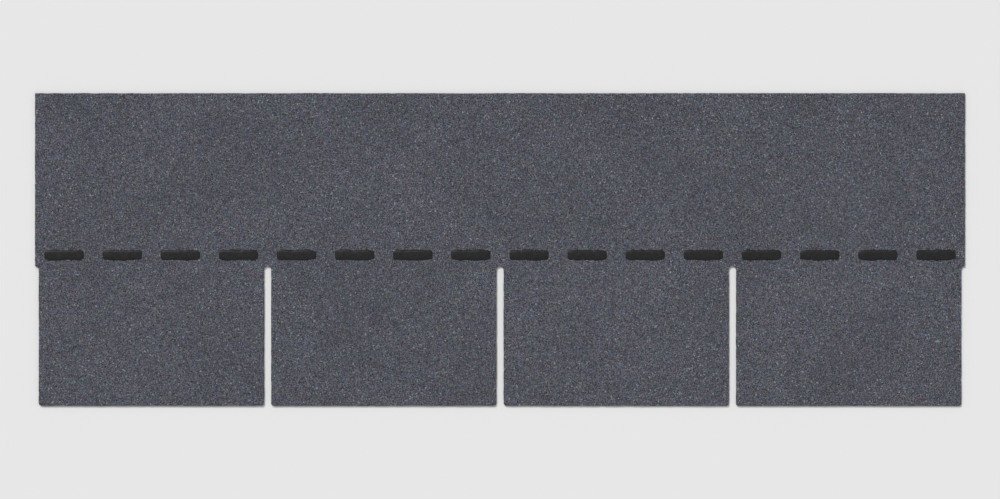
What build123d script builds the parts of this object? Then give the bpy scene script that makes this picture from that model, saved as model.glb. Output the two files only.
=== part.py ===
from build123d import *
import os

# A rectangular bitumen roof shingle: one die-cut strip of granule-faced sheet with a row
# of tabs along its butt edge, and short dashes of sealing bitumen on its head lap.
# It lies on its back. X runs along the strip, Y up the slope and Z out of the weather
# face. The origin is the middle of the back. Every size is in millimetres.

# The strip
tab_count = 4
tab_pitch = 250.0  # from the middle of one slot to the middle of the next
exposure = 145.0  # height of each course that stays in view
head_lap = 191.0  # height that the courses above cover
sheet_thickness = 3.0

# The slots between the tabs
slot_width = 8.0
slot_overrun = 1.0  # how far a slot keeps its full width past the exposure line
tab_corner_radius = 2.5

# The sealing dashes
dashes_per_tab = 4  # an even count leaves a gap in the middle of each tab
dash_gap = 20.0
dash_width = 12.0
dash_height = 0.8
dash_corner_radius = 4.0
dash_bevel = 0.5
dash_to_slot = 6.0  # from the top of a slot to the lower side of the dashes

# Worked out from those
strip_length = tab_count * tab_pitch
strip_height = exposure + head_lap
butt_y = -strip_height / 2
slot_end_radius = slot_width / 2
slot_top_y = butt_y + exposure + slot_overrun + slot_end_radius
dash_pitch = tab_pitch / dashes_per_tab
dash_length = dash_pitch - dash_gap
dash_y = slot_top_y + dash_to_slot + dash_width / 2


def along_strip(count, pitch):
    """Places of a centred row of copies along the strip."""
    return [(i - (count - 1) / 2) * pitch for i in range(count)]


def slot_cut(x):
    """Plan of one slot, open at the butt edge and round at its top."""
    straight_top = slot_top_y - slot_end_radius
    below_butt = butt_y - slot_width
    middle_y = (straight_top + below_butt) / 2
    channel = Pos(x, middle_y) * Rectangle(slot_width, straight_top - below_butt)
    round_end = Pos(x, straight_top) * Circle(slot_end_radius)
    return channel + round_end


def tab_corners(outline):
    """The corners of the plan where a slot meets the butt edge."""
    at_butt = outline.vertices().filter_by(lambda v: abs(v.Y - butt_y) < 0.01)
    return at_butt


def strip_outline():
    """Plan of the strip: a whole slot between tabs, and half a slot at each end."""
    outline = Rectangle(strip_length, strip_height)
    for x in along_strip(tab_count + 1, tab_pitch):
        outline -= slot_cut(x)
    return fillet(tab_corners(outline), tab_corner_radius)


def shingle_strip():
    """The die-cut sheet, flat on its back."""
    return extrude(strip_outline(), sheet_thickness)


def seal_dash(x):
    """One dash of sealing bitumen, a low pad with a bevelled crown."""
    plan = RectangleRounded(dash_length, dash_width, dash_corner_radius)
    pad = extrude(plan, dash_height)
    crowned = chamfer(pad.edges().group_by(Axis.Z)[-1], dash_bevel)
    return Pos(x, dash_y, sheet_thickness) * crowned


def main():
    os.makedirs("parts", exist_ok=True)
    export_step(shingle_strip(), "parts/shingle_strip.step")
    for number, x in enumerate(along_strip(tab_count * dashes_per_tab, dash_pitch), 1):
        export_step(seal_dash(x), f"parts/seal_dash_{number:02d}.step")


main()
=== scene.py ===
import math

import bpy
import numpy as np
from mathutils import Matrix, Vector


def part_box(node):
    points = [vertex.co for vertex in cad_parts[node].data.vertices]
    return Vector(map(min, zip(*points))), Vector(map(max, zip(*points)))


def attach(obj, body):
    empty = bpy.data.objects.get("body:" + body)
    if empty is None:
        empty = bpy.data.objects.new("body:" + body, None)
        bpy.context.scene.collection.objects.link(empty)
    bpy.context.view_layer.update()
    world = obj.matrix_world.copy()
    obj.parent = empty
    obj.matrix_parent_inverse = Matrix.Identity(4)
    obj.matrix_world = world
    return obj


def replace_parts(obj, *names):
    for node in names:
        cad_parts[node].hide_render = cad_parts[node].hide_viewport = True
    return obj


bl_info = {
    "name": "Bitumen Roof Shingle",
    "version": (1, 0, 0),
    "blender": (4, 5, 0),
    "location": "3D Viewport > Sidebar > Shingle",
    "description": "Finishes a rectangular bitumen roof shingle: a die-cut bitumen sheet, "
    "crushed granules pressed into its weather face and dashes of sealing bitumen",
    "category": "Object",
}

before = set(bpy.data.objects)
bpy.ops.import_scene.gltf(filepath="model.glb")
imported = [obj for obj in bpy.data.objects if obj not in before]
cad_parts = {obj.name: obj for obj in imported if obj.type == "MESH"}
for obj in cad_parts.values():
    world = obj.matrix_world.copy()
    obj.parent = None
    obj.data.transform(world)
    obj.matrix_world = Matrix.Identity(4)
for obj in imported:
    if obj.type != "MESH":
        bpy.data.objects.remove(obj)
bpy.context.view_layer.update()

MM = 0.001
STRIP = "shingle_strip"
DASHES = sorted(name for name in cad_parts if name.startswith("seal_dash"))
STRIP_LOW, STRIP_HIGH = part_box(STRIP)
STRIP_SIZE = STRIP_HIGH - STRIP_LOW
BAKE_MAP = "OFBake"


# Settings

def length(name, description, default):
    """A length property in metres, shown in the scene's own unit."""
    return bpy.props.FloatProperty(
        name=name, description=description, default=default, min=0.0, precision=5,
        unit="LENGTH", subtype="DISTANCE",
    )


def colour(name, description, default):
    """A colour property, in linear light."""
    return bpy.props.FloatVectorProperty(
        name=name, description=description, default=default, size=3, min=0.0, max=1.0,
        subtype="COLOR",
    )


class ShingleSheetSettings(bpy.types.PropertyGroup):
    """The die-cut bitumen sheet that carries the granules."""

    tab_count: bpy.props.IntProperty(
        name="Tabs", description="Number of tabs along the butt edge", default=4, min=1,
    )
    slot_width: length("Slot width", "Width of a slot between two tabs", 8 * MM)
    slot_height: length("Slot height", "Height from the butt edge to a slot's round top", 150 * MM)
    corner_radius: length("Tab corner", "Radius of a tab's two lower corners", 2.5 * MM)
    granule_stand: length("Granule stand", "How far the granules stand out of the bitumen", 0.5 * MM)
    cut_step: length("Cut step", "Spacing of the points along the cut edge", 1.2 * MM)
    cut_unevenness: length("Cut unevenness", "How far the cut edge strays from its line", 0.16 * MM)
    seed: bpy.props.IntProperty(
        name="Seed", description="Start of the random draws for the cut edge", default=3,
    )
    bitumen: colour("Bitumen", "Oxidised bitumen of the sheet", (0.012, 0.012, 0.0125))
    fleece: colour("Glass fleece", "Fibre ends of the carrier in the cut edge", (0.12, 0.105, 0.08))
    sand: colour("Back sand", "Fine sand dusted on the back", (0.115, 0.11, 0.1))


class ShingleGranuleSettings(bpy.types.PropertyGroup):
    """The crushed mineral granules on the weather face."""

    pitch: length("Pitch", "Mean distance between neighbouring granules", 1.58 * MM)
    smallest: length("Smallest granule", "Mean width of the smallest granules", 1.4 * MM)
    largest: length("Largest granule", "Mean width of the largest granules", 2.5 * MM)
    seed: bpy.props.IntProperty(
        name="Seed", description="Start of the random draws for the granules", default=7,
    )
    slate_blue: colour("Slate blue", "Commonest granule", (0.12, 0.142, 0.198))
    sage_grey: colour("Sage grey", "Greenish granule, second commonest", (0.146, 0.169, 0.171))
    violet_grey: colour("Violet grey", "Warm granule", (0.173, 0.135, 0.184))
    charcoal: colour("Charcoal", "Darkest granule", (0.083, 0.082, 0.102))
    ash_grey: colour("Ash grey", "Plain grey granule", (0.165, 0.163, 0.193))
    pale_grey: colour("Pale grey", "Lightest and rarest granule", (0.253, 0.285, 0.311))


class ShingleSealSettings(bpy.types.PropertyGroup):
    """The dashes of sealing bitumen on the head lap."""

    unevenness: bpy.props.FloatProperty(
        name="Unevenness", description="How far a dash strays from its even shape",
        default=0.09, min=0.0, max=0.3, subtype="FACTOR",
    )
    seed: bpy.props.IntProperty(
        name="Seed", description="Start of the random draws for the dashes", default=23,
    )
    bitumen: colour("Sealing bitumen", "Soft modified bitumen", (0.008, 0.008, 0.0085))


class ShingleStageSettings(bpy.types.PropertyGroup):
    """The floor, the light and the camera."""

    floor: colour("Floor", "Plain pale floor", (0.8, 0.8, 0.8))
    sky_share: bpy.props.FloatProperty(
        name="Sky share", description="Part of the light that comes evenly from all round",
        default=0.5, min=0.0, max=1.0, subtype="FACTOR",
    )
    lamp_softness: bpy.props.FloatProperty(
        name="Lamp softness", description="Angle that the lamp fills as seen from the shingle",
        default=math.radians(14), min=0.0, max=math.pi, subtype="ANGLE", unit="ROTATION",
    )
    lens: bpy.props.FloatProperty(
        name="Lens", description="Focal length of the camera, in millimetres",
        default=120.0, min=1.0, subtype="DISTANCE_CAMERA", unit="CAMERA",
    )
    fill: bpy.props.FloatProperty(
        name="Fill", description="Part of the picture's width that the shingle takes",
        default=0.93, min=0.1, max=1.0, subtype="FACTOR",
    )


# Plan of the die-cut sheet

def tab_pitch(sheet):
    """Distance from the middle of one slot to the middle of the next."""
    return STRIP_SIZE.x / sheet.tab_count


def slot_shoulder(sheet):
    """Height at which a slot's straight sides end and its round top begins."""
    return STRIP_LOW.y + sheet.slot_height - sheet.slot_width / 2


def stretch(start, end, step):
    """Points on a straight run, evenly spaced at about one step, without its end point."""
    start, end = np.array(start, float), np.array(end, float)
    count = max(1, int(round(np.linalg.norm(end - start) / step)))
    share = np.arange(count)[:, None] / count
    return start + (end - start) * share


def arc(centre, radius, start_deg, end_deg, step):
    """Points on a circle from one angle to another, without the end point."""
    start, end = math.radians(start_deg), math.radians(end_deg)
    count = max(3, int(round(abs(end - start) * radius / step)))
    angle = start + (end - start) * np.arange(count) / count
    return np.array(centre) + radius * np.stack([np.cos(angle), np.sin(angle)], 1)


def tab_contour(middle, sheet, step):
    """The cut from the top of one slot, round a tab's two corners, to the top of the next."""
    left, right = middle - tab_pitch(sheet) / 2, middle + tab_pitch(sheet) / 2
    slot, corner = sheet.slot_width / 2, sheet.corner_radius
    butt, shoulder = STRIP_LOW.y, slot_shoulder(sheet)
    return np.concatenate([
        arc((left, shoulder), slot, 90, 0, step),
        stretch((left + slot, shoulder), (left + slot, butt + corner), step),
        arc((left + slot + corner, butt + corner), corner, 180, 270, step),
        stretch((left + slot + corner, butt), (right - slot - corner, butt), step),
        arc((right - slot - corner, butt + corner), corner, 270, 360, step),
        stretch((right - slot, butt + corner), (right - slot, shoulder), step),
        arc((right, shoulder), slot, 180, 90, step),
    ])


def cut_outline(sheet):
    """The whole die-cut outline, anticlockwise seen from the weather face, as an array."""
    step = sheet.cut_step
    middles = STRIP_LOW.x + tab_pitch(sheet) * (np.arange(sheet.tab_count) + 0.5)
    slot_top = STRIP_LOW.y + sheet.slot_height
    right_slot, right_head = (STRIP_HIGH.x, slot_top), (STRIP_HIGH.x, STRIP_HIGH.y)
    left_head, left_slot = (STRIP_LOW.x, STRIP_HIGH.y), (STRIP_LOW.x, slot_top)
    runs = [tab_contour(middle, sheet, step) for middle in middles]
    runs.append(stretch(right_slot, right_head, step))
    runs.append(stretch(right_head, left_head, step))
    runs.append(stretch(left_head, left_slot, step))
    return np.concatenate(runs)


def depth_inside(places, sheet):
    """How far each place lies inside the cut outline, and negative outside it.

    It is the least distance to the rectangle's sides and to the nearest slot, which is a
    channel with a round end. Near a tab corner it is the distance to the corner's arc.
    """
    x, y = places[:, 0], places[:, 1]
    pitch, shoulder = tab_pitch(sheet), slot_shoulder(sheet)
    slot, corner = sheet.slot_width / 2, sheet.corner_radius
    from_line = x - STRIP_LOW.x - pitch * np.round((x - STRIP_LOW.x) / pitch)
    from_slot = np.hypot(from_line, np.maximum(y - shoulder, 0)) - slot
    from_butt = y - STRIP_LOW.y
    sides = np.minimum(np.minimum(x - STRIP_LOW.x, STRIP_HIGH.x - x), STRIP_HIGH.y - y)
    depth = np.minimum(np.minimum(sides, from_butt), from_slot)
    in_corner = (from_slot < corner) & (from_butt < corner) & (y < shoulder)
    round_depth = corner - np.hypot(corner - from_slot, corner - from_butt)
    return np.where(in_corner, round_depth, depth)


# Mesh making

def add_piece(name, points, faces, material, smooth=None):
    """Makes a mesh object from arrays. faces is a list of arrays of corners, each array's
    faces having as many corners as it has columns. smooth says which arrays shade smooth."""
    smooth = smooth or [False] * len(faces)
    corners = np.concatenate([block.ravel() for block in faces])
    counts = np.concatenate([np.full(len(block), block.shape[1]) for block in faces])
    rounded = np.concatenate([np.full(len(b), s) for b, s in zip(faces, smooth)])
    mesh = bpy.data.meshes.new(name)
    mesh.vertices.add(len(points))
    mesh.vertices.foreach_set("co", points.astype(np.float32).ravel())
    mesh.loops.add(len(corners))
    mesh.loops.foreach_set("vertex_index", corners.astype(np.int32))
    mesh.polygons.add(len(counts))
    mesh.polygons.foreach_set("loop_start", (np.cumsum(counts) - counts).astype(np.int32))
    mesh.polygons.foreach_set("use_smooth", rounded)
    mesh.update(calc_edges=True)
    mesh.materials.append(material)
    piece = bpy.data.objects.new(name, mesh)
    bpy.context.scene.collection.objects.link(piece)
    return piece


def set_numbers(piece, name, values):
    """Stores one number for each face under a name."""
    attribute = piece.data.attributes.new(name, "FLOAT", "FACE")
    attribute.data.foreach_set("value", values.astype(np.float32))


def band(lower, upper):
    """Four-cornered faces between two closed rings of point numbers."""
    return np.stack([lower, np.roll(lower, -1), np.roll(upper, -1), upper], 1)


def wander(count, step, rough, rng):
    """A closed line of random numbers about zero, smoothed over a length, of spread one.

    White noise is folded with a bell curve as wide as rough, going round the ring.
    """
    reach = np.fft.fftfreq(count) * count * step
    bell = np.exp(-0.5 * (reach / rough) ** 2)
    drawn = rng.normal(size=count)
    line = np.fft.ifft(np.fft.fft(drawn) * np.fft.fft(bell)).real
    return line / line.std()


# The sheet

CUT_SECTION = (
    # height as a part of the bitumen's thickness, set-out from the line, share of unevenness
    (0.0, -0.14 * MM, 0.3),
    (0.07, 0.03 * MM, 0.35),
    (0.42, -0.04 * MM, 0.3),
    (0.48, 0.06 * MM, 0.5),
    (0.55, -0.05 * MM, 0.35),
    (0.86, 0.0, 0.6),
    (1.0, -0.12 * MM, 0.9),
)
LONG_WANDER, LONG_SHARE = 12 * MM, 0.5
SHORT_WANDER, SHORT_SHARE = 2.2 * MM, 0.6
LAYER_WANDER = 1.3 * MM
MOST_STRAY = 2  # times the unevenness


def build_sheet(sheet, material):
    """The bitumen sheet: the cut section carried round the outline, closed above and below.

    A point lies on the outline plus its outward normal times the section's set-out and the
    stray. The stray is the sum of a long and a short wandering line that all heights share
    and a third one for each height, levelled off by a hyperbolic tangent.
    """
    rng = np.random.default_rng(sheet.seed)
    outline = cut_outline(sheet)
    along = np.roll(outline, -1, 0) - np.roll(outline, 1, 0)
    along /= np.linalg.norm(along, axis=1, keepdims=True)
    outward = np.stack([along[:, 1], -along[:, 0]], 1)
    count, step = len(outline), sheet.cut_step
    thickness = STRIP_SIZE.z - sheet.granule_stand
    shared = LONG_SHARE * wander(count, step, LONG_WANDER, rng)
    shared += SHORT_SHARE * wander(count, step, SHORT_WANDER, rng)
    rings = []
    for height, set_out, share in CUT_SECTION:
        stray = shared + wander(count, step, LAYER_WANDER, rng) * share
        stray = np.tanh(stray / MOST_STRAY) * MOST_STRAY * sheet.cut_unevenness
        flat = outline + outward * (set_out + stray)[:, None]
        level = np.full((count, 1), STRIP_LOW.z + height * thickness)
        rings.append(np.hstack([flat, level]))
    points = np.concatenate(rings)
    number = np.arange(len(points)).reshape(len(rings), count)
    sides = np.concatenate([band(a, b) for a, b in zip(number[:-1], number[1:])])
    faces = [sides, number[0][::-1][None], number[-1][None]]
    piece = add_piece("bitumen_sheet", points, faces, material, [True, False, False])
    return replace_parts(piece, STRIP)


# The granules

LATTICE_TURN = math.radians(17)
LATTICE_SHAKE = 0.33  # of the pitch
ROW_SHARE = math.sqrt(3) / 2  # of the pitch, from one row to the next

EDGE_BARE = 0.15 * MM  # no chip has its middle nearer to the cut edge
EDGE_OVERHANG = 0.1 * MM
ROOT_INSIDE = 0.4 * MM
UNDER_DASH = 0.9 * MM

DASH_POWER = 6  # a dash's plan is the superellipse of this power

# Reaches and depths are shares of a chip's width, and levels are shares of the stand
CORNER_STRAY = 0.3  # of a quarter turn
CORNER_REACH = (0.4, 0.6)
CHIP_STRETCH = (0.85, 1.3)
CHIP_SLOPE = 0.26
CHIP_FOLD = 0.35
CHIP_LEVEL = (0.35, 0.9)
LEVEL_LIMITS = (0.05, 1.15)
ROOT_STRAY = 0.8
ROOT_DEPTH = 0.55
WIDTH_SPREAD = 1.6  # the beta distribution's two numbers, alike

CHIP_SIDES = np.array([(1, 0, 4), (2, 1, 4), (3, 2, 4), (0, 3, 4)])
CHIP_TOP = np.array([(0, 1, 2), (0, 2, 3)])
CHIP_FACES = np.concatenate([CHIP_SIDES, CHIP_TOP])
# Where the chip's corners and its root lie on its own cell of the baking map
CHIP_CELL = np.array([(0.05, 0.05), (0.95, 0.05), (0.95, 0.95), (0.05, 0.95), (0.5, 0.5)])
# The same as seen from the chip's own middle, where its rim is at one
CHIP_SPOTS = np.array([(-1, -1, 0), (1, -1, 0), (1, 1, 0), (-1, 1, 0), (0, 0, 0)])


def jittered_lattice(low, high, pitch, rng):
    """Places over a rectangle on a triangular lattice, turned and then shaken.

    Rows lie 0.866 pitches apart, every other one shifted by half a pitch. The whole is
    turned by an odd angle, so that no row lines up with an edge, and each place moves at
    random by up to a third of a pitch.
    """
    middle = (np.array(low) + np.array(high)) / 2
    reach = np.hypot(*(np.array(high) - np.array(low))) / 2 + pitch
    most = int(reach / (pitch * ROW_SHARE)) + 1
    steps = np.arange(-most, most + 1)
    column, row = (axis.ravel() for axis in np.meshgrid(steps, steps))
    x, y = (column + row % 2 / 2) * pitch, row * pitch * ROW_SHARE
    cosine, sine = math.cos(LATTICE_TURN), math.sin(LATTICE_TURN)
    places = np.stack([x * cosine - y * sine, x * sine + y * cosine], 1) + middle
    places += rng.uniform(-LATTICE_SHAKE, LATTICE_SHAKE, places.shape) * pitch
    return places[((places > low) & (places < high)).all(1)]


def outside_dashes(places, margin):
    """True for each place outside every sealing dash, or under its rim by up to a margin."""
    clear = np.ones(len(places), bool)
    for name in DASHES:
        low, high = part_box(name)
        middle, half = (low + high) / 2, (high - low) / 2
        across = np.abs(places[:, 0] - middle.x) / (half.x - margin)
        up = np.abs(places[:, 1] - middle.y) / (half.y - margin)
        clear &= across**DASH_POWER + up**DASH_POWER > 1
    return clear


def cut_off(places, offsets, beyond, sheet):
    """Offsets from each place, shortened where they would pass the cut edge by too much.

    With d the depth at the place and e the depth at the offset's end, the part that is kept
    is d plus the distance allowed beyond the edge, over d less e.
    """
    depth = depth_inside(places, sheet)[:, None]
    ends = (places[:, None] + offsets).reshape(-1, 2)
    end_depth = depth_inside(ends, sheet).reshape(offsets.shape[:2])
    passes = end_depth < -beyond
    part = np.where(passes, (depth + beyond) / np.where(passes, depth - end_depth, 1), 1)
    return offsets * part.clip(0, 1)[:, :, None]


def chip_points(places, base, granules, sheet, rng):
    """Corner points of one crushed chip at each place, as an array of chips by 5 by 3.

    Four corners stand round the place at uneven angles and distances, cut off where they
    pass the sheet's edge. Their height is the chip's own level, plus a tilt, plus a fold
    that lifts one diagonal over the other. The fifth point is the root, deep in the
    bitumen and off the middle, so that some sides lean in under the top and others show
    as flanks.
    """
    stand = sheet.granule_stand
    count, opposite = len(places), np.array([1, -1, 1, -1])
    size = rng.beta(WIDTH_SPREAD, WIDTH_SPREAD, count)
    width = granules.smallest + (granules.largest - granules.smallest) * size
    turn = rng.uniform(0, 2 * np.pi, (count, 1))
    stray = rng.uniform(-CORNER_STRAY, CORNER_STRAY, (count, 4))
    angle = turn + (np.arange(4) + stray) * (np.pi / 2)
    reach = width[:, None] * rng.uniform(*CORNER_REACH, (count, 4))
    reach *= rng.uniform(*CHIP_STRETCH, (count, 1)) ** opposite
    corners = np.stack([np.cos(angle) * reach, np.sin(angle) * reach], 2)
    corners = cut_off(places, corners, EDGE_OVERHANG, sheet)
    tilt = (corners * rng.uniform(-CHIP_SLOPE, CHIP_SLOPE, (count, 1, 2))).sum(2)
    fold = stand * rng.uniform(0, CHIP_FOLD, (count, 1)) * opposite
    level = stand * rng.uniform(*CHIP_LEVEL, (count, 1)) + tilt + fold
    lowest, highest = LEVEL_LIMITS
    level = level.clip(lowest * stand, highest * stand)
    root = rng.uniform(-ROOT_STRAY, ROOT_STRAY, (count, 2)) * reach.mean(1, keepdims=True)
    root = cut_off(places, root[:, None], -ROOT_INSIDE, sheet)
    plan = np.concatenate([corners, root], 1) + places[:, None]
    height = np.concatenate([level, -ROOT_DEPTH * width[:, None]], 1)
    return np.concatenate([plan, height[:, :, None] + base], 2)


def chip_map(chips):
    """A map on which each chip's top fills a square cell of its own, so that a baked picture
    gives every chip its own few pixels. The sides lie under the top in the same cell."""
    count = len(chips)
    across = math.ceil(math.sqrt(count))
    cell = np.stack([np.arange(count) % across, np.arange(count) // across], 1)
    return (cell[:, None, None] + CHIP_CELL[CHIP_FACES][None]) / across


def build_granules(name, chips, picks, shades, material):
    """One block of granules as a joined mesh of closed chips."""
    faces = (np.arange(len(chips))[:, None, None] * chips.shape[1] + CHIP_FACES).reshape(-1, 3)
    piece = add_piece(name, chips.reshape(-1, 3), [faces], material)
    set_numbers(piece, "pick", np.repeat(picks, len(CHIP_FACES)))
    set_numbers(piece, "shade", np.repeat(shades, len(CHIP_FACES)))
    spots = piece.data.attributes.new("spot", "FLOAT_VECTOR", "POINT")
    spots.data.foreach_set("vector", np.tile(CHIP_SPOTS, (len(chips), 1)).astype(np.float32).ravel())
    layer = piece.data.uv_layers.new(name=BAKE_MAP, do_init=False)
    layer.uv.foreach_set("vector", chip_map(chips).astype(np.float32).ravel())
    return piece


# The sealing dashes

BEAD_COLUMNS, BEAD_ROWS = 56, 13
# Each wave is its angle along the bead, its angle across it and its share
WIDTH_WAVES = ((5, 0, 1.0), (13, 0, 0.6))
SKEW_WAVES = ((4, 0, 1.0), (11, 0, 0.5))
RIPPLES = ((7, 2.2, 1.0), (17, -3, 0.7))
WIDTH_SWAY, SKEW_SWAY = 0.55, 0.4  # how much of the waves the width and the line take
RIM = 0.2  # the rim's height as a share of the bead's
END_DROP, END_FROM, END_SHARPNESS = 0.16, 0.55, 6  # where the nozzle lifted off
HEADROOM = 1.02


def waves(u, v, parts, phases):
    """A sum of sine waves over u and v, each with a phase of its own."""
    return sum(
        share * np.sin(along * u + across * v + phase)
        for (along, across, share), phase in zip(parts, phases)
    )


def bead_skin(low, high, base, seal, rng):
    """The upper surface of a bead of bitumen that was laid hot, as columns by rows by 3.

    u runs along the bead and v across it. The half width is the CAD one times the sixth
    root of one less u to the sixth, and the height falls off with the cube of v and the
    eighth power of u. Slow waves of random phase move both, and the last stretch lies a
    little lower.
    """
    middle, half, top = (low + high) / 2, (high - low) / 2, high.z - base
    u = np.sin(np.linspace(-0.5, 0.5, BEAD_COLUMNS + 2)[1:-1] * np.pi)[:, None]
    v = np.linspace(-1, 1, BEAD_ROWS)[None, :]
    phases = rng.uniform(0, 2 * np.pi, 6)
    plan = 1 - u**DASH_POWER
    wave = waves(u, v, WIDTH_WAVES, phases[:2]) * seal.unevenness
    skew = waves(u, v, SKEW_WAVES, phases[2:4]) * seal.unevenness
    ripple = 1 + waves(u, v, RIPPLES, phases[4:]) * seal.unevenness
    width = half.y * plan ** (1 / DASH_POWER) * (1 + WIDTH_SWAY * wave)
    x = middle.x + half.x * u + 0 * v
    y = middle.y + width * v + SKEW_SWAY * half.y * skew * plan
    crown = (1 - np.abs(v) ** 3).clip(0) ** 0.7 * (1 - 0.9 * u**8) ** 0.6
    fallen = 1 - END_DROP * (1 + np.tanh(END_SHARPNESS * (u - END_FROM))) / 2
    z = base + top * (RIM + (1 - RIM) * crown * ripple * fallen) / HEADROOM
    z[:, [0, -1]] = base
    return np.stack([x, y, np.minimum(z, high.z)], 2)


def build_dash(name, dash, seal, base, material, rng):
    """One bead in place of a plain dash: its skin, a flat underside, and two ends that close
    in a point."""
    low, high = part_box(dash)
    middle_y = (low.y + high.y) / 2
    skin = bead_skin(low, high, base, seal, rng).reshape(-1, 3)
    tips = np.array([(low.x, middle_y, base), (high.x, middle_y, base)])
    number = np.arange(len(skin)).reshape(BEAD_COLUMNS, BEAD_ROWS)
    before, after = number[:-1], number[1:]
    upper = np.stack([before[:, :-1], after[:, :-1], after[:, 1:], before[:, 1:]], 2)
    under = np.stack([before[:, 0], before[:, -1], after[:, -1], after[:, 0]], 1)
    first, last = number[0], number[-1]
    first_tip = np.full(BEAD_ROWS - 1, len(skin))
    last_tip = first_tip + 1
    ends = np.concatenate([
        np.stack([first[:-1], first[1:], first_tip], 1),
        np.stack([last[1:], last[:-1], last_tip], 1),
        [(first[-1], first[0], first_tip[0]), (last[0], last[-1], last_tip[0])],
    ])
    faces = [upper.reshape(-1, 4), ends, under]
    piece = add_piece(name, np.concatenate([skin, tips]), faces, material, [True, True, False])
    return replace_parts(piece, dash)


# Node making

def node(tree, kind, sockets=None, **settings):
    """Adds a node, sets its properties, and links or sets its input sockets."""
    made = tree.nodes.new(kind)
    for name, value in settings.items():
        setattr(made, name, value)
    for key, value in (sockets or {}).items():
        if isinstance(value, bpy.types.NodeSocket):
            tree.links.new(value, made.inputs[key])
        else:
            made.inputs[key].default_value = value
    return made


def maths(tree, operation, *values):
    """One step of arithmetic on sockets and numbers."""
    return node(tree, "ShaderNodeMath", dict(enumerate(values)), operation=operation).outputs[0]


def vectors(tree, operation, *values):
    """One step of arithmetic on vectors. A dot product comes out as a number."""
    made = node(tree, "ShaderNodeVectorMath", dict(enumerate(values)), operation=operation)
    return made.outputs["Value" if operation == "DOT_PRODUCT" else "Vector"]


def height_of(tree, place):
    """The height of a place, which is its third coordinate."""
    return node(tree, "ShaderNodeSeparateXYZ", {0: place}).outputs["Z"]


def ramped(tree, value, low, high, to_low=0.0, to_high=1.0):
    """Carries a range of values onto another, smoothly, and holds it at the ends."""
    sockets = {"Value": value, "From Min": low, "From Max": high, "To Min": to_low, "To Max": to_high}
    made = node(tree, "ShaderNodeMapRange", sockets, interpolation_type="SMOOTHSTEP")
    return made.outputs["Result"]


def mixed(tree, share, first, second):
    """The first colour, going over to the second as the share goes from 0 to 1."""
    sockets = {0: share, 6: first, 7: second}
    return node(tree, "ShaderNodeMix", sockets, data_type="RGBA").outputs[2]


def between(tree, share, first, second):
    """The first number, going over to the second as the share goes from 0 to 1."""
    sockets = {0: share, 2: first, 3: second}
    return node(tree, "ShaderNodeMix", sockets, data_type="FLOAT").outputs[0]


def lit(tree, tint, level):
    """A colour made lighter or darker by a level, where 1 leaves it as it is."""
    sockets = {0: tint, "Scale": level}
    return node(tree, "ShaderNodeVectorMath", sockets, operation="SCALE").outputs[0]


def noise(tree, where, per_metre, detail=2.0, roughness=0.5):
    """Even noise from 0 to 1, with so many waves to a metre."""
    sockets = {"Vector": where, "Scale": per_metre, "Detail": detail, "Roughness": roughness}
    return node(tree, "ShaderNodeTexNoise", sockets).outputs["Fac"]


def cells(tree, where, per_metre, feature):
    """A pattern of random cells, with so many to a metre, as Blender's Voronoi texture makes it."""
    sockets = {"Vector": where, "Scale": per_metre}
    return node(tree, "ShaderNodeTexVoronoi", sockets, feature=feature).outputs


def opaque(tint):
    """A colour with full alpha."""
    return (*tint, 1.0)


def new_group(name, inputs, outputs):
    """An empty node group with named sockets, and its input and output nodes' sockets."""
    tree = bpy.data.node_groups.new(name, "ShaderNodeTree")
    for label, kind in inputs:
        tree.interface.new_socket(label, in_out="INPUT", socket_type=kind)
    for label, kind in outputs:
        tree.interface.new_socket(label, in_out="OUTPUT", socket_type=kind)
    return tree, tree.nodes.new("NodeGroupInput").outputs, tree.nodes.new("NodeGroupOutput").inputs


def use_group(tree, group, **sockets):
    """Places a node group in a material and returns its outputs."""
    return node(tree, "ShaderNodeGroup", sockets, node_tree=group).outputs


def new_material(name):
    """A material, its node tree, its one Principled shader and its coordinates."""
    material = bpy.data.materials.new(name)
    material.use_nodes = True
    tree = material.node_tree
    coordinates = tree.nodes.new("ShaderNodeTexCoord").outputs
    return material, tree, tree.nodes["Principled BSDF"], coordinates


def bump(tree, shader, height, distance, strength):
    """Feeds a height, in parts of the distance, to the shader's normal."""
    made = node(tree, "ShaderNodeBump", {"Height": height, "Strength": strength, "Distance": distance})
    tree.links.new(made.outputs["Normal"], shader.inputs["Normal"])


# Effects that several materials share

FLOAT, COLOUR, VECTOR = "NodeSocketFloat", "NodeSocketColor", "NodeSocketVector"


def granule_mix():
    """The colour of a granule from two random numbers: pick chooses its kind of stone by
    share, and shade makes it up to a quarter lighter or darker. cloud is a slow drift."""
    found = bpy.data.node_groups.get("granule_mix")
    if found:
        return found
    granules = bpy.context.scene.shingle_granules
    inputs = [("Pick", FLOAT), ("Shade", FLOAT), ("Cloud", FLOAT)]
    tree, given, result = new_group("granule_mix", inputs, [("Color", COLOUR)])
    kinds = (
        # where each kind's share of the picks begins
        (0.0, granules.charcoal),
        (0.16, granules.slate_blue),
        (0.46, granules.sage_grey),
        (0.68, granules.ash_grey),
        (0.78, granules.violet_grey),
        (0.95, granules.pale_grey),
    )
    chosen = node(tree, "ShaderNodeValToRGB", {"Fac": given["Pick"]})
    stops = chosen.color_ramp
    stops.interpolation = "CONSTANT"
    stops.elements[1].position = kinds[1][0]
    for start, _ in kinds[2:]:
        stops.elements.new(start)
    for stop, (_, tint) in zip(stops.elements, kinds):
        stop.color = opaque(tint)
    shade = ramped(tree, given["Shade"], 0.0, 1.0, 0.74, 1.26)
    cloud = ramped(tree, given["Cloud"], 0.3, 0.7, 0.92, 1.08)
    stone = lit(tree, chosen.outputs["Color"], maths(tree, "MULTIPLY", shade, cloud))
    tree.links.new(stone, result["Color"])
    return tree


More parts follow.
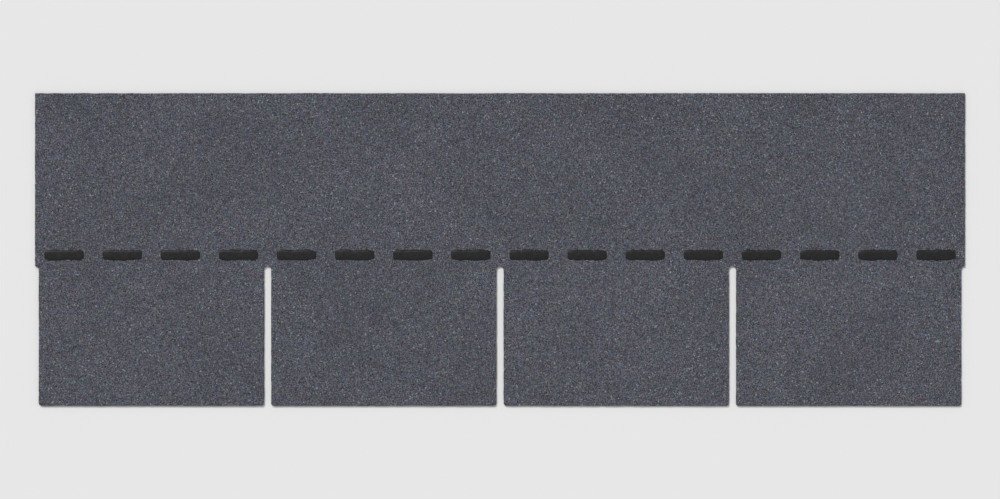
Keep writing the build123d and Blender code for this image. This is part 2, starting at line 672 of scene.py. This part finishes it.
def bitumen_skin():
    """Bitumen that set from hot or was sheared: its own colour, a little lighter where it
    is scuffed, with the mask of the scuffs and the height of its fine folds."""
    found = bpy.data.node_groups.get("bitumen_skin")
    if found:
        return found
    inputs = [("Place", VECTOR), ("Bitumen", COLOUR)]
    outputs = [("Color", COLOUR), ("Scuff", FLOAT), ("Height", FLOAT)]
    tree, given, result = new_group("bitumen_skin", inputs, outputs)
    broad = noise(tree, given["Place"], 260.0, 3.0, 0.6)
    fine = noise(tree, given["Place"], 1900.0, 2.0, 0.55)
    scuff = ramped(tree, maths(tree, "MULTIPLY", broad, fine), 0.2, 0.42)
    level = ramped(tree, scuff, 0.0, 1.0, 1.0, 2.1)
    tree.links.new(lit(tree, given["Bitumen"], level), result["Color"])
    tree.links.new(scuff, result["Scuff"])
    tree.links.new(maths(tree, "MULTIPLY_ADD", fine, 0.35, broad), result["Height"])
    return tree


def grain_bed():
    """Crushed grains lying side by side: the mask of the grains, two random numbers for each,
    the tilt of its top and its height. Each grain is a cell of a Voronoi pattern, drawn in a
    little from its edges and tilted its own way. Cover is the share of the cells that hold a
    grain. On a larger stone the tilt alone makes broken facets."""
    found = bpy.data.node_groups.get("grain_bed")
    if found:
        return found
    inputs = [("Place", VECTOR), ("Grain", FLOAT), ("Cover", FLOAT)]
    outputs = [(label, FLOAT) for label in ("Mask", "Pick", "Shade", "Tilt", "Height")]
    tree, given, result = new_group("grain_bed", inputs, outputs)
    per_grain = maths(tree, "DIVIDE", 1.0, given["Grain"])
    cell = cells(tree, given["Place"], per_grain, "F1")
    border = cells(tree, given["Place"], per_grain, "DISTANCE_TO_EDGE")["Distance"]
    random = node(tree, "ShaderNodeSeparateColor", {0: cell["Color"]}).outputs
    lying = maths(tree, "LESS_THAN", random[2], given["Cover"])
    mask = maths(tree, "MULTIPLY", lying, ramped(tree, border, 0.03, 0.1))
    offset = vectors(tree, "SUBTRACT", given["Place"], cell["Position"])
    slope = vectors(tree, "SUBTRACT", cell["Color"], (0.5, 0.5, 0.5))
    tilt = maths(tree, "MULTIPLY", vectors(tree, "DOT_PRODUCT", slope, offset), per_grain)
    body = maths(tree, "ADD", ramped(tree, random[0], 0.0, 1.0, 0.5, 0.9), tilt)
    tree.links.new(mask, result["Mask"])
    tree.links.new(random[0], result["Pick"])
    tree.links.new(random[1], result["Shade"])
    tree.links.new(tilt, result["Tilt"])
    tree.links.new(maths(tree, "MULTIPLY", mask, body), result["Height"])
    return tree


# Materials

SMALL_GRAIN = 0.62 * MM  # granules too small to be pieces, between the large ones
SAND_GRAIN = 0.3 * MM
FACET = 0.8 * MM  # broken faces on one granule
RING, RING_STRAY = 1.05, 0.3  # where a granule's stone ends, and how far out a facet moves it
SHOULDER, SHOULDER_DROP = 0.3, 0.2  # width and depth of its worn rim, the depth in facets
CUT_STONES = (0.48 * MM, 0.38 * MM)  # depth in the cut edge at which cut granules begin to show
FLEECE = (0.12 * MM, 0.3 * MM)  # distance from the edge's middle over which fibre ends fade
WET = (-0.05 * MM, 0.1 * MM)  # height over the bitumen up to which a granule is coated
HUE_DRIFT = 0.16  # how much more of red or blue one patch could have than another


def weather_face(tree, small, stone, skin):
    """Colour and height of the gaps between the granules: smaller ones, in bitumen."""
    return mixed(tree, small["Mask"], skin["Color"], stone["Color"]), small["Height"]


def cut_edge(tree, place, sheet, small, stone, skin):
    """Colour and height of the cut edge: sheared bitumen, with the ends of the fleece's
    fibres along its middle and cut granules under its top."""
    level, top = height_of(tree, place), STRIP_HIGH.z - sheet.granule_stand
    near_top = ramped(tree, level, top - CUT_STONES[0], top - CUT_STONES[1])
    some = maths(tree, "GREATER_THAN", small["Shade"], 0.45)
    stones = maths(tree, "MULTIPLY", maths(tree, "MULTIPLY", small["Mask"], some), near_top)
    off_middle = maths(tree, "ABSOLUTE", maths(tree, "SUBTRACT", level, (STRIP_LOW.z + top) / 2))
    in_fleece = ramped(tree, off_middle, *FLEECE, 1.0, 0.0)
    ends = ramped(tree, noise(tree, place, 2600.0, 1.0), 0.5, 0.62)
    fibre = maths(tree, "MULTIPLY", maths(tree, "MULTIPLY", in_fleece, ends), 0.7)
    sheared = mixed(tree, fibre, skin["Color"], opaque(sheet.fleece))
    height = maths(tree, "MULTIPLY_ADD", fibre, 0.25, maths(tree, "MULTIPLY", skin["Height"], 0.4))
    return mixed(tree, stones, sheared, stone["Color"]), height


def sanded_back(tree, place, sheet, skin):
    """Colour and height of the back: fine sand on bitumen, sparser in some places."""
    cover = ramped(tree, noise(tree, place, 38.0, 3.0), 0.25, 0.75, 0.66, 0.94)
    dust = use_group(tree, grain_bed(), Place=place, Grain=SAND_GRAIN, Cover=cover)
    sand = lit(tree, tuple(sheet.sand), ramped(tree, dust["Shade"], 0.0, 1.0, 0.55, 1.5))
    folds = maths(tree, "MULTIPLY", skin["Height"], 0.3)
    height = maths(tree, "MULTIPLY_ADD", dust["Height"], 0.35, folds)
    return mixed(tree, dust["Mask"], skin["Color"], sand), height


def sheet_material(sheet):
    """The sheet: its weather face, its cut edge and its sanded back, told apart by the way
    that the surface faces."""
    material, tree, shader, coordinates = new_material("bitumen_sheet")
    place, facing = coordinates["Object"], height_of(tree, coordinates["Normal"])
    is_top = ramped(tree, facing, 0.5, 0.8)
    is_back = ramped(tree, facing, -0.8, -0.5, 1.0, 0.0)
    skin = use_group(tree, bitumen_skin(), Place=place, Bitumen=opaque(sheet.bitumen))
    small = use_group(tree, grain_bed(), Place=place, Grain=SMALL_GRAIN, Cover=0.7)
    stone = use_group(tree, granule_mix(), Pick=small["Pick"], Shade=small["Shade"], Cloud=0.5)

    top_colour, top_height = weather_face(tree, small, stone, skin)
    edge_colour, edge_height = cut_edge(tree, place, sheet, small, stone, skin)
    back_colour, back_height = sanded_back(tree, place, sheet, skin)
    above = mixed(tree, is_top, edge_colour, top_colour)
    tree.links.new(mixed(tree, is_back, above, back_colour), shader.inputs["Base Color"])
    height = between(tree, is_back, between(tree, is_top, edge_height, top_height), back_height)
    bump(tree, shader, height, 0.4 * MM, 0.8)
    rough = between(tree, is_top, ramped(tree, skin["Scuff"], 0.0, 1.0, 0.48, 0.7), 0.82)
    tree.links.new(between(tree, is_back, rough, 0.88), shader.inputs["Roughness"])
    shader.inputs["Specular IOR Level"].default_value = 0.35
    return material


def from_middle(tree, spot):
    """How far a spot lies from the middle, counted so that spots equally far out lie on an
    eight-sided ring: the larger of its two parts plus half the smaller."""
    parts = node(tree, "ShaderNodeSeparateXYZ", {0: vectors(tree, "ABSOLUTE", spot)}).outputs
    larger = maths(tree, "MAXIMUM", parts["X"], parts["Y"])
    smaller = maths(tree, "MINIMUM", parts["X"], parts["Y"])
    return maths(tree, "MULTIPLY_ADD", smaller, 0.5, larger)


def drifting(tree, place, tint):
    """A colour whose red and blue wander a little from patch to patch, each by itself, as in
    a blend of stones that isn't mixed evenly."""
    sockets = {"Vector": place, "Scale": 40.0, "Detail": 3.0, "Roughness": 0.7}
    patches = node(tree, "ShaderNodeTexNoise", sockets).outputs["Color"]
    least = 1 - HUE_DRIFT / 2
    drift = vectors(tree, "MULTIPLY_ADD", patches, (HUE_DRIFT, 0.0, HUE_DRIFT), (least, 1.0, least))
    return vectors(tree, "MULTIPLY", tint, drift)


def granule_material(sheet):
    """Crushed stone, each chip with its own colour, broken facets and a fine speckle. Its
    corners are knocked off to a rough ring of facets, outside which there is only bitumen,
    its rim is worn round, and it is wet with bitumen where it dips into it."""
    material, tree, shader, coordinates = new_material("granules")
    place = coordinates["Object"]
    pick = node(tree, "ShaderNodeAttribute", attribute_name="pick").outputs["Fac"]
    shade = node(tree, "ShaderNodeAttribute", attribute_name="shade").outputs["Fac"]
    spot = node(tree, "ShaderNodeAttribute", attribute_name="spot").outputs["Vector"]
    cloud = noise(tree, place, 9.0, 3.0, 0.55)
    stone = use_group(tree, granule_mix(), Pick=pick, Shade=shade, Cloud=cloud)
    facet = use_group(tree, grain_bed(), Place=place, Grain=FACET, Cover=1.0)
    speckle = noise(tree, place, 3200.0, 2.0, 0.6)

    broken = ramped(tree, facet["Shade"], 0.0, 1.0, 0.92, 1.08)
    fleck = maths(tree, "MULTIPLY", ramped(tree, speckle, 0.3, 0.7, 0.86, 1.14), broken)
    base = STRIP_HIGH.z - sheet.granule_stand
    dry = ramped(tree, height_of(tree, place), base + WET[0], base + WET[1])
    ring = maths(tree, "MULTIPLY_ADD", facet["Pick"], RING_STRAY, RING)
    inside = maths(tree, "SUBTRACT", ring, from_middle(tree, spot))
    bare = maths(tree, "MULTIPLY", dry, ramped(tree, inside, -0.02, 0.05))
    bed = opaque(sheet.bitumen)
    tint = mixed(tree, bare, bed, lit(tree, drifting(tree, place, stone["Color"]), fleck))
    tree.links.new(tint, shader.inputs["Base Color"])

    rough = maths(tree, "MULTIPLY_ADD", speckle, 0.06, facet["Tilt"])
    shoulder = ramped(tree, inside, 0.0, SHOULDER)
    height = maths(tree, "MULTIPLY_ADD", shoulder, SHOULDER_DROP, rough)
    bump(tree, shader, height, FACET, 0.85)
    shader.inputs["Roughness"].default_value = 0.78
    shader.inputs["Specular IOR Level"].default_value = 0.35
    return material


def seal_material(seal, sand):
    """Soft sealing bitumen: black, with a dull gloss, fine folds and a little sand on it."""
    material, tree, shader, coordinates = new_material("seal_bitumen")
    place = coordinates["Object"]
    skin = use_group(tree, bitumen_skin(), Place=place, Bitumen=opaque(seal.bitumen))
    dust = use_group(tree, grain_bed(), Place=place, Grain=SAND_GRAIN, Cover=0.02)
    tint = mixed(tree, maths(tree, "MULTIPLY", dust["Mask"], 0.6), skin["Color"], opaque(sand))
    tree.links.new(tint, shader.inputs["Base Color"])
    tree.links.new(ramped(tree, skin["Scuff"], 0.0, 1.0, 0.38, 0.5), shader.inputs["Roughness"])
    shader.inputs["Specular IOR Level"].default_value = 0.2
    height = maths(tree, "MULTIPLY_ADD", dust["Height"], 0.2, skin["Height"])
    bump(tree, shader, height, 0.22 * MM, 0.5)
    return material


# The stage

FLOOR_REACH = 30.0
FLOOR_GAP = 0.05 * MM  # keeps the floor clear of the back
LAMP_FROM = Vector((-0.5, 0.8, 1.05)).normalized()


def lay_floor(stage):
    """A plain pale floor just under the shingle."""
    corners = np.array([(-1, -1), (1, -1), (1, 1), (-1, 1)]) * FLOOR_REACH
    points = np.hstack([corners, np.full((4, 1), STRIP_LOW.z - FLOOR_GAP)])
    material, _, shader, _ = new_material("floor")
    shader.inputs["Base Color"].default_value = opaque(stage.floor)
    shader.inputs["Roughness"].default_value = 0.9
    shader.inputs["Specular IOR Level"].default_value = 0.0
    add_piece("floor", points, [np.arange(4)[None]], material)


def light_world(scene, stage):
    """Even light from all round. The camera, and what mirrors, sees the floor's colour."""
    world = bpy.data.worlds.new("studio")
    world.use_nodes = True
    tree = world.node_tree
    path = tree.nodes.new("ShaderNodeLightPath").outputs
    seen = maths(tree, "MAXIMUM", path["Is Camera Ray"], path["Is Glossy Ray"])
    seen = maths(tree, "MAXIMUM", seen, path["Is Transmission Ray"])
    background = tree.nodes["Background"]
    tint = mixed(tree, seen, opaque((1.0, 1.0, 1.0)), opaque(stage.floor))
    tree.links.new(tint, background.inputs["Color"])
    tree.links.new(between(tree, seen, stage.sky_share, 1.0), background.inputs["Strength"])
    scene.world = world


def hang_lamp(scene, stage):
    """One broad soft lamp, far off above the top left. With the sky it makes up a level of
    one on a flat face, so a colour renders about as it is written."""
    lamp = bpy.data.lights.new("lamp", "SUN")
    lamp.angle = stage.lamp_softness
    lamp.energy = (1 - stage.sky_share) * math.pi / LAMP_FROM.z
    holder = bpy.data.objects.new("lamp", lamp)
    holder.rotation_euler = LAMP_FROM.to_track_quat("Z", "Y").to_euler()
    holder.location = LAMP_FROM * 3
    scene.collection.objects.link(holder)


def aim_camera(scene, stage):
    """A camera that looks straight down on the shingle, with its butt edge at the foot."""
    camera = bpy.data.cameras.new("camera")
    camera.lens = stage.lens
    camera.clip_end = 100.0
    wide = STRIP_SIZE.x / stage.fill
    middle = (STRIP_LOW + STRIP_HIGH) / 2
    holder = bpy.data.objects.new("camera", camera)
    holder.location = (middle.x, middle.y, STRIP_HIGH.z + wide * camera.lens / camera.sensor_width)
    scene.collection.objects.link(holder)
    scene.camera = holder


# Operators

class SHINGLE_OT_set_stage(bpy.types.Operator):
    """Set out the pale floor, the light and the camera that looks straight down"""

    bl_idname = "shingle.set_stage"
    bl_label = "Set Stage"

    def execute(self, context):
        scene, stage = context.scene, context.scene.shingle_stage
        lay_floor(stage)
        light_world(scene, stage)
        hang_lamp(scene, stage)
        aim_camera(scene, stage)
        scene.view_settings.view_transform = "Standard"
        return {"FINISHED"}


class SHINGLE_OT_lay_sheet(bpy.types.Operator):
    """Make the die-cut bitumen sheet in place of the plain strip"""

    bl_idname = "shingle.lay_sheet"
    bl_label = "Lay Bitumen Sheet"

    def execute(self, context):
        sheet = context.scene.shingle_sheet
        if 2 * sheet.slot_width > tab_pitch(sheet):
            raise RuntimeError("The slots leave too little of the tabs: lower their width or the count")
        piece = build_sheet(sheet, sheet_material(sheet))
        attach(piece, "root")
        return {"FINISHED"}


class SHINGLE_OT_press_granules(bpy.types.Operator):
    """Press crushed granules into the weather face, in one joined mesh for each block of it"""

    bl_idname = "shingle.press_granules"
    bl_label = "Press Granules"

    def execute(self, context):
        sheet, granules = context.scene.shingle_sheet, context.scene.shingle_granules
        rng = np.random.default_rng(granules.seed)
        places = jittered_lattice(STRIP_LOW[:2], STRIP_HIGH[:2], granules.pitch, rng)
        places = places[(depth_inside(places, sheet) > EDGE_BARE) & outside_dashes(places, UNDER_DASH)]
        if not len(places):
            raise RuntimeError("No granule fits on the sheet: lower the pitch")
        chips = chip_points(places, STRIP_HIGH.z - sheet.granule_stand, granules, sheet, rng)
        picks, shades = rng.uniform(size=(2, len(places)))
        material = granule_material(sheet)
        column = ((places[:, 0] - STRIP_LOW.x) / tab_pitch(sheet)).astype(int)
        slot_top = STRIP_LOW.y + sheet.slot_height
        half_way = (slot_top + STRIP_HIGH.y) / 2
        rows = [("tab", STRIP_LOW.y, slot_top), ("lap", slot_top, half_way),
                ("head", half_way, STRIP_HIGH.y)]
        for row, low, high in rows:
            for tab in range(sheet.tab_count):
                here = (column == tab) & (places[:, 1] >= low) & (places[:, 1] < high)
                piece = build_granules(f"granules_{row}_{tab + 1}", chips[here], picks[here],
                                       shades[here], material)
                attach(piece, "root")
        return {"FINISHED"}


class SHINGLE_OT_lay_seal(bpy.types.Operator):
    """Lay the dashes of sealing bitumen on the head lap"""

    bl_idname = "shingle.lay_seal"
    bl_label = "Lay Sealing Dashes"

    def execute(self, context):
        sheet, seal = context.scene.shingle_sheet, context.scene.shingle_seal
        if not DASHES:
            raise RuntimeError("The frame has no sealing dashes")
        rng = np.random.default_rng(seal.seed)
        material = seal_material(seal, sheet.sand)
        base = STRIP_HIGH.z - sheet.granule_stand
        for name in DASHES:
            piece = build_dash(name.replace("seal_dash", "seal_bead"), name, seal, base, material, rng)
            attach(piece, "root")
        return {"FINISHED"}


# Panel and registration

STEPS = (
    # operator, its settings, and where the scene keeps them
    (SHINGLE_OT_set_stage, ShingleStageSettings, "shingle_stage"),
    (SHINGLE_OT_lay_sheet, ShingleSheetSettings, "shingle_sheet"),
    (SHINGLE_OT_press_granules, ShingleGranuleSettings, "shingle_granules"),
    (SHINGLE_OT_lay_seal, ShingleSealSettings, "shingle_seal"),
)


class SHINGLE_PT_sidebar(bpy.types.Panel):
    """The shingle's steps and settings, in the order they run"""

    bl_idname = "SHINGLE_PT_sidebar"
    bl_label = "Bitumen Roof Shingle"
    bl_space_type = "VIEW_3D"
    bl_region_type = "UI"
    bl_category = "Shingle"

    def draw(self, context):
        for step, settings, kept_as in STEPS:
            box = self.layout.box()
            box.operator(step.bl_idname)
            for name in settings.__annotations__:
                box.prop(getattr(context.scene, kept_as), name)


def register():
    """Registers the settings, steps and panel, and hangs the settings on the scene."""
    for step, settings, kept_as in STEPS:
        bpy.utils.register_class(settings)
        setattr(bpy.types.Scene, kept_as, bpy.props.PointerProperty(type=settings))
        bpy.utils.register_class(step)
    bpy.utils.register_class(SHINGLE_PT_sidebar)


def unregister():
    """Takes away what register added, in the opposite order."""
    bpy.utils.unregister_class(SHINGLE_PT_sidebar)
    for step, settings, kept_as in reversed(STEPS):
        bpy.utils.unregister_class(step)
        delattr(bpy.types.Scene, kept_as)
        bpy.utils.unregister_class(settings)


def main():
    """Runs every step in order."""
    register()
    bpy.ops.shingle.set_stage()
    bpy.ops.shingle.lay_sheet()
    bpy.ops.shingle.press_granules()
    bpy.ops.shingle.lay_seal()


if __name__ == "__main__":
    main()
